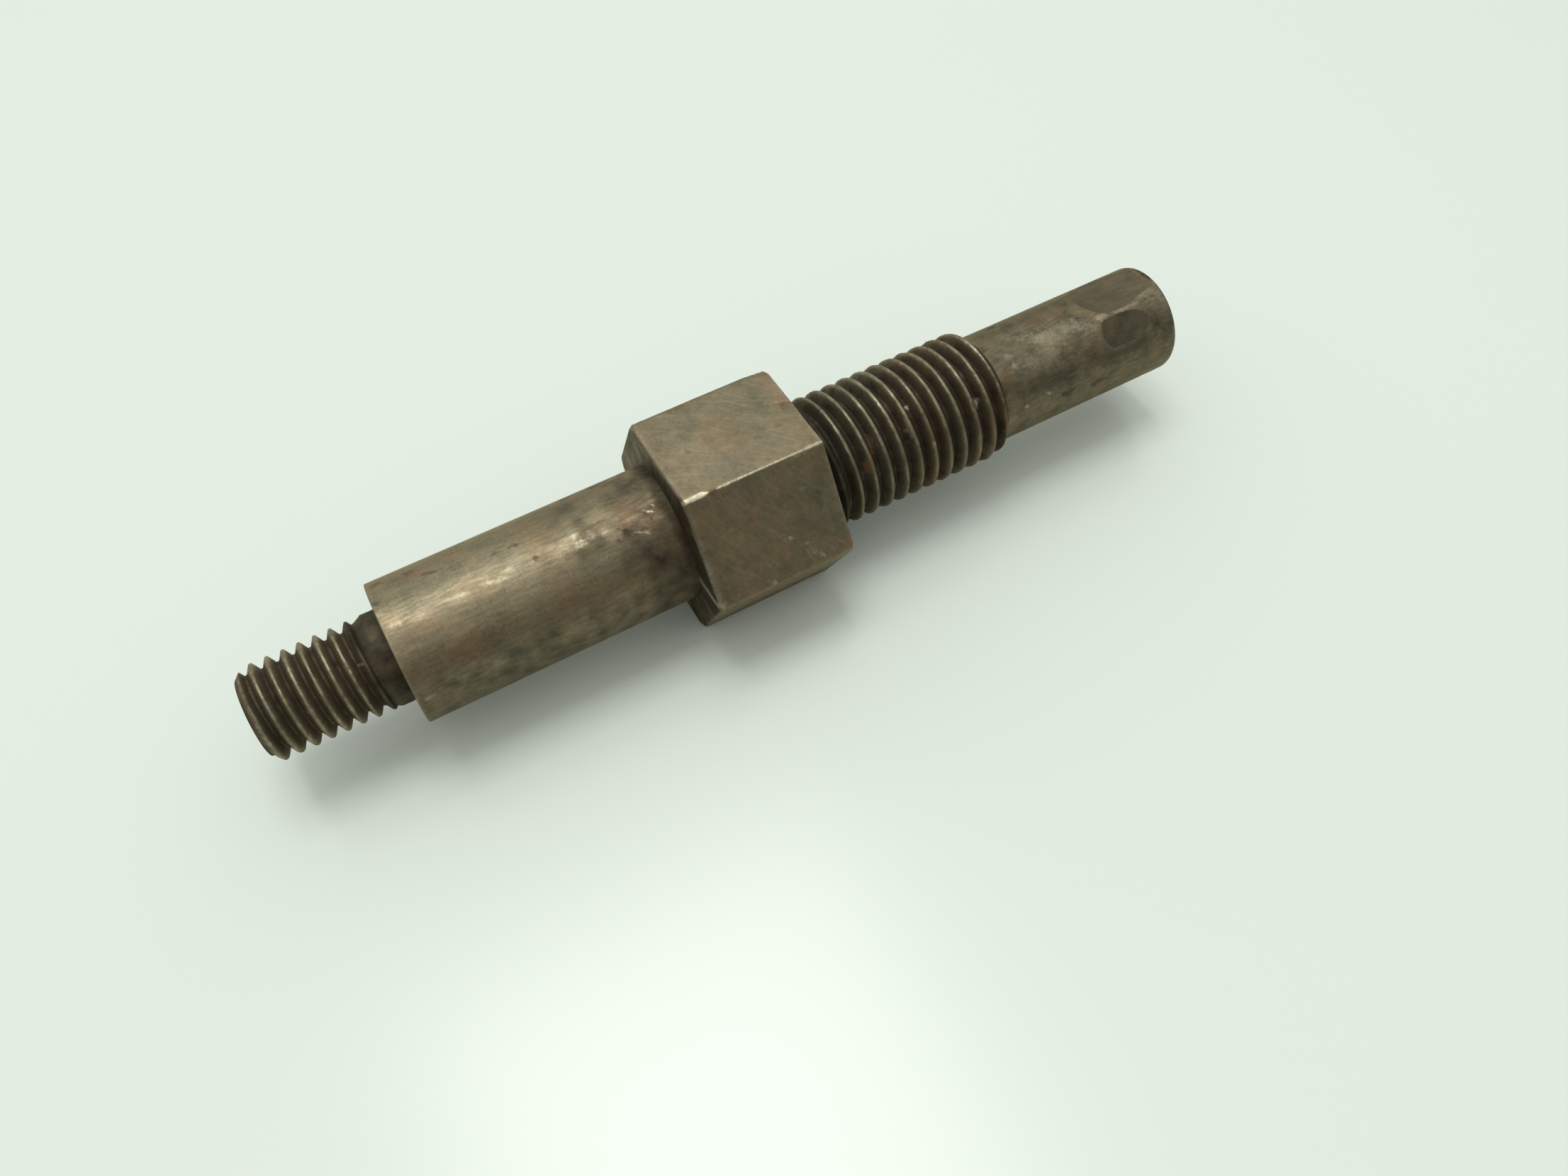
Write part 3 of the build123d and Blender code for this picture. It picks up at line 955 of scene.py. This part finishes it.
class Recipe:
    """Short way to write one material's nodes. Grain sizes are in millimetres."""

    def __init__(self, name):
        self.material = bpy.data.materials.new(name)
        self.material.use_nodes = True
        self.tree = self.material.node_tree
        self.shader = self.tree.nodes["Principled BSDF"]
        self.place = self.tree.nodes.new("ShaderNodeTexCoord").outputs["Object"]

    def feed(self, socket, value):
        if isinstance(value, bpy.types.NodeSocket):
            self.tree.links.new(value, socket)
        else:
            socket.default_value = value

    def share(self, name):
        node = self.tree.nodes.new("ShaderNodeAttribute")
        node.attribute_name = name
        return node.outputs["Fac"]

    def math(self, operation, *values, clamp=False):
        node = self.tree.nodes.new("ShaderNodeMath")
        node.operation = operation
        node.use_clamp = clamp
        for socket, value in zip(node.inputs, values):
            self.feed(socket, value)
        return node.outputs[0]

    def times(self, a, b):
        return self.math("MULTIPLY", a, b)

    def plus(self, a, b, clamp=False):
        return self.math("ADD", a, b, clamp=clamp)

    def swing(self, value, amount):
        """Noise moved to lie evenly about 0 and scaled."""
        return self.math("MULTIPLY_ADD", value, amount, -0.5 * amount)

    def ramp(self, value, low, high):
        node = self.tree.nodes.new("ShaderNodeMapRange")
        node.interpolation_type = "SMOOTHSTEP"
        self.feed(node.inputs["Value"], value)
        node.inputs["From Min"].default_value = low
        node.inputs["From Max"].default_value = high
        return node.outputs["Result"]

    def noise(self, grain, seed, detail=2.0, turn=(0.0, 0.0, 0.0), place=None):
        mapping = self.tree.nodes.new("ShaderNodeMapping")
        mapping.vector_type = "TEXTURE"
        mapping.inputs["Location"].default_value = (seed * 0.37, seed * 0.11, -seed * 0.23)
        mapping.inputs["Rotation"].default_value = [math.radians(a) for a in turn]
        mapping.inputs["Scale"].default_value = [g * MM for g in grain]
        self.feed(mapping.inputs["Vector"], place or self.place)
        node = self.tree.nodes.new("ShaderNodeTexNoise")
        node.inputs["Scale"].default_value = 1.0
        node.inputs["Detail"].default_value = detail
        self.feed(node.inputs["Vector"], mapping.outputs["Vector"])
        return node.outputs["Fac"]

    def mix(self, share, a, b):
        node = self.tree.nodes.new("ShaderNodeMix")
        node.data_type = "RGBA"
        self.feed(node.inputs[0], share)
        for socket, value in ((node.inputs[MIX_A], a), (node.inputs[MIX_B], b)):
            self.feed(socket, value if isinstance(value, bpy.types.NodeSocket) else (*value, 1.0))
        return node.outputs[MIXED]

    def scaled(self, colour, factor):
        node = self.tree.nodes.new("ShaderNodeVectorMath")
        node.operation = "SCALE"
        self.feed(node.inputs[0], colour)
        self.feed(node.inputs["Scale"], factor)
        return node.outputs[0]

    def bump(self, height, distance_mm, below=None):
        node = self.tree.nodes.new("ShaderNodeBump")
        node.inputs["Strength"].default_value = 1.0
        node.inputs["Distance"].default_value = distance_mm * MM
        self.feed(node.inputs["Height"], height)
        if below is not None:
            self.feed(node.inputs["Normal"], below)
        return node.outputs["Normal"]


# Grains of the steel's cloud, blotch and speck noise, the part of the scratch noise that cuts,
# and the depths of relief, all but the shares in millimetres.
CLOUD, BLOTCH, SPECK = (3.2, 3.2, 3.2), (1.3, 1.3, 1.3), (0.22, 0.22, 0.22)
CUT_FROM, CUT_FULL = 0.52, 0.78
ROUGH_DEPTH, TOOL_DEPTH, CUT_DEPTH = 0.03, 0.012, -0.001


def worn_steel(
    name, seed, light, gloss, lines, line_share, streaks, streak_share, scratches, scratch_share
):
    """Old turned steel: tool lines, streaks, scratches, grime and painted shade, warm stains,
    exposed metal and painted highlights, rust.
    """
    r = Recipe(name)
    soil, bare, rust = r.share("soil"), r.share("bare"), r.share("rust")
    warm, scale = r.share("warm"), r.share("scale")
    cloud = r.noise(CLOUD, seed, 2.0)
    blotch = r.noise(BLOTCH, seed + 1, 5.0)
    speck = r.noise(SPECK, seed + 2, 3.0)
    tool = r.noise(lines, seed + 3, 2.0)
    streak = r.noise(streaks, seed + 4, 3.0)
    cut_marks = None
    for i, (grain, turn) in enumerate(scratches):
        cut = r.ramp(r.noise(grain, seed + 5 + i, 1.0, turn), CUT_FROM, CUT_FULL)
        cut_marks = cut if cut_marks is None else r.math("MAXIMUM", cut_marks, cut)

    warmth = r.plus(r.swing(cloud, 2.2), warm)
    warmth = r.plus(warmth, r.swing(blotch, 1.0), clamp=True)
    tone = r.mix(warmth, OLIVE, BROWN)
    uneven = r.plus(r.times(r.swing(blotch, 1.5), scale), r.swing(speck, 0.5))
    uneven = r.plus(uneven, r.swing(cloud, 0.7))
    clean_and_unshaded = r.ramp(soil, 0.5, 0.0)
    uneven = r.plus(uneven, r.times(r.swing(tool, line_share), clean_and_unshaded))
    uneven = r.plus(uneven, r.swing(streak, streak_share))
    uneven = r.plus(uneven, r.times(r.times(cut_marks, scratch_share), clean_and_unshaded))
    tone = r.scaled(tone, r.times(r.math("MAXIMUM", r.plus(uneven, 1.0), 0.25), light))

    # Grime share, which also carries the painted shade.
    dirt_and_shade = r.plus(soil, r.times(r.swing(blotch, 1.2), r.ramp(soil, 0.0, 0.4)), clamp=True)
    ragged = r.plus(r.swing(speck, 1.6), r.swing(blotch, 1.6))
    # Share of exposed metal, which also carries the painted highlights and reflection.
    shine = r.plus(bare, r.times(ragged, r.ramp(bare, 0.0, 0.6)), clamp=True)
    rusty = r.plus(rust, r.times(ragged, rust), clamp=True)
    colour = r.mix(dirt_and_shade, tone, r.mix(warmth, GREY_GRIME_AND_SHADE, BROWN_GRIME_AND_SHADE))
    colour = r.mix(shine, colour, BARE_AND_SHEEN)
    colour = r.mix(rusty, colour, RUST)
    r.feed(r.shader.inputs["Base Color"], colour)

    metal = r.plus(r.times(dirt_and_shade, -0.35), 0.78)
    metal = r.plus(metal, r.times(shine, 0.2))
    metal = r.plus(metal, r.times(rusty, -0.75), clamp=True)
    r.feed(r.shader.inputs["Metallic"], metal)
    r.shader.inputs["Specular Tint"].default_value = (*EDGE_TINT, 1.0)
    rough = r.plus(r.times(dirt_and_shade, 0.24), r.plus(r.swing(blotch, 0.25), 1.0 - gloss))
    rough = r.plus(rough, r.times(shine, -0.13))
    rough = r.plus(rough, r.swing(streak, -streak_share * 0.4))
    rough = r.plus(rough, r.times(rusty, 0.35), clamp=True)
    r.feed(r.shader.inputs["Roughness"], rough)

    relief = r.bump(r.plus(r.times(blotch, scale), r.times(speck, 0.35)), ROUGH_DEPTH)
    relief = r.bump(tool, line_share * TOOL_DEPTH, relief)
    relief = r.bump(cut_marks, CUT_DEPTH, relief)
    r.feed(r.shader.inputs["Normal"], relief)
    return r.material


# Scratches: grain and turn. Streaks: grain.
ROUND_SCRATCH = ((0.09, 2.5, 2.5), (0.0, 0.0, 0.0))
LONG_SCRATCH = ((5.0, 0.17, 0.17), (0.0, 0.0, 9.0))
DIAGONAL = ((4.0, 0.28, 4.0), (0.0, 0.0, -52.0))
SHALLOW = ((4.0, 0.22, 4.0), (0.0, 0.0, -28.0))
AXIAL = (1.3, 0.25, 0.25)
EVEN = (0.6, 0.6, 0.6)
steels = {
    journal: worn_steel(
        "journal_steel", seed=1, light=1.65, gloss=0.56, lines=(0.07, 5.0, 5.0), line_share=0.35,
        streaks=AXIAL, streak_share=0.7,
        scratches=(ROUND_SCRATCH, LONG_SCRATCH), scratch_share=0.15,
    ),
    head: worn_steel(
        "head_steel", seed=11, light=1.42, gloss=0.55, lines=(0.25, 4.0, 4.0), line_share=0.15,
        streaks=EVEN, streak_share=0.4, scratches=(DIAGONAL, SHALLOW), scratch_share=0.2,
    ),
    stub: worn_steel(
        "stub_steel", seed=21, light=1.4, gloss=0.55, lines=(0.06, 2.5, 2.5), line_share=0.6,
        streaks=EVEN, streak_share=0.4, scratches=(ROUND_SCRATCH,), scratch_share=0.25,
    ),
    nose: worn_steel(
        "nose_steel", seed=31, light=1.3, gloss=0.60, lines=(0.06, 3.0, 3.0), line_share=0.6,
        streaks=EVEN, streak_share=0.4, scratches=(ROUND_SCRATCH,), scratch_share=0.25,
    ),
    shank: worn_steel(
        "shank_steel", seed=41, light=1.05, gloss=0.55, lines=(0.12, 3.0, 3.0), line_share=0.25,
        streaks=AXIAL, streak_share=0.6, scratches=(LONG_SCRATCH,), scratch_share=0.3,
    ),
}
for piece, steel in steels.items():
    piece.data.materials.append(steel)
    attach(piece, "root")
    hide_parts(NODE)

# ---- floor ----
FLOOR_HALF = 1.2
FLOOR_Z = -HEAD_HALF_FLATS * MM
FLOOR_COLOUR = (0.74, 0.79, 0.73)
FLOOR_ROUGHNESS = 0.22
floor_mesh = bpy.data.meshes.new("floor")
floor_corners = [
    (x * FLOOR_HALF, y * FLOOR_HALF, FLOOR_Z) for x, y in ((-1, -1), (1, -1), (1, 1), (-1, 1))
]
floor_mesh.from_pydata(floor_corners, [], [(0, 1, 2, 3)])
floor = bpy.data.objects.new("floor", floor_mesh)
bpy.context.scene.collection.objects.link(floor)
floor_paint = bpy.data.materials.new("floor")
floor_paint.use_nodes = True
floor_shader = floor_paint.node_tree.nodes["Principled BSDF"]
floor_shader.inputs["Base Color"].default_value = (*FLOOR_COLOUR, 1)
floor_shader.inputs["Roughness"].default_value = FLOOR_ROUGHNESS
floor.data.materials.append(floor_paint)

# ---- light ----
LOW_LIGHT = (0.185, 0.180, 0.150)
HIGH_LIGHT = (0.94, 0.98, 0.94)
# The room is lightest in this direction, and its light runs between these two shares of it.
LIGHT_SIDE = (0.0, 0.3, 0.95)
LIGHT_FROM, LIGHT_TO = -0.15, 0.9
world = bpy.data.worlds.new("room")
world.use_nodes = True
sky = world.node_tree
toward = sky.nodes.new("ShaderNodeTexCoord")
tilt = sky.nodes.new("ShaderNodeVectorMath")
tilt.operation = "DOT_PRODUCT"
tilt.inputs[1].default_value = LIGHT_SIDE
sky.links.new(toward.outputs["Generated"], tilt.inputs[0])
spread = sky.nodes.new("ShaderNodeMapRange")
spread.interpolation_type = "SMOOTHSTEP"
spread.inputs["From Min"].default_value = LIGHT_FROM
spread.inputs["From Max"].default_value = LIGHT_TO
sky.links.new(tilt.outputs["Value"], spread.inputs["Value"])
blend = sky.nodes.new("ShaderNodeMix")
blend.data_type = "RGBA"
blend.inputs[MIX_A].default_value = (*LOW_LIGHT, 1.0)
blend.inputs[MIX_B].default_value = (*HIGH_LIGHT, 1.0)
sky.links.new(spread.outputs["Result"], blend.inputs[0])
sky.links.new(blend.outputs[MIXED], sky.nodes["Background"].inputs["Color"])
bpy.context.scene.world = world


def area_light(name, place, aim, size, power):
    data = bpy.data.lights.new(name, "AREA")
    data.shape = "RECTANGLE"
    data.size, data.size_y = size
    data.energy = power
    lamp = bpy.data.objects.new(name, data)
    lamp.location = place
    lamp.rotation_euler = (Vector(aim) - Vector(place)).to_track_quat("-Z", "Y").to_euler()
    bpy.context.scene.collection.objects.link(lamp)


LAMP_PLACE = (0.0, 0.12, 0.7)
LAMP_SIZE = (0.3, 0.3)
LAMP_WATTS = 1.5
area_light("overhead", LAMP_PLACE, (0.0, 0.0, 0.0), LAMP_SIZE, LAMP_WATTS)

# ---- camera ----
IMAGE_WIDTH_PX = 2212
FOCAL_PX = 1699
SENSOR_MM = 36.0
NEAREST_SEEN = 0.005
CAMERA_PLACE = Vector((-0.019526, -0.062073, 0.078121))
CAMERA_AIM = Vector((0.008190, -0.004632, -0.0084))
CAMERA_ROLL = math.radians(4.3414)
camera_data = bpy.data.cameras.new("camera")
camera_data.sensor_width = SENSOR_MM
camera_data.lens = FOCAL_PX * camera_data.sensor_width / IMAGE_WIDTH_PX
camera_data.clip_start = NEAREST_SEEN
camera = bpy.data.objects.new("camera", camera_data)
bpy.context.scene.collection.objects.link(camera)
camera.location = CAMERA_PLACE
turn = (CAMERA_AIM - CAMERA_PLACE).to_track_quat("-Z", "Y").to_matrix()
camera.rotation_euler = (turn @ Matrix.Rotation(-CAMERA_ROLL, 3, "Z")).to_euler()
bpy.context.scene.camera = camera
bpy.context.scene.view_settings.view_transform = "Standard"
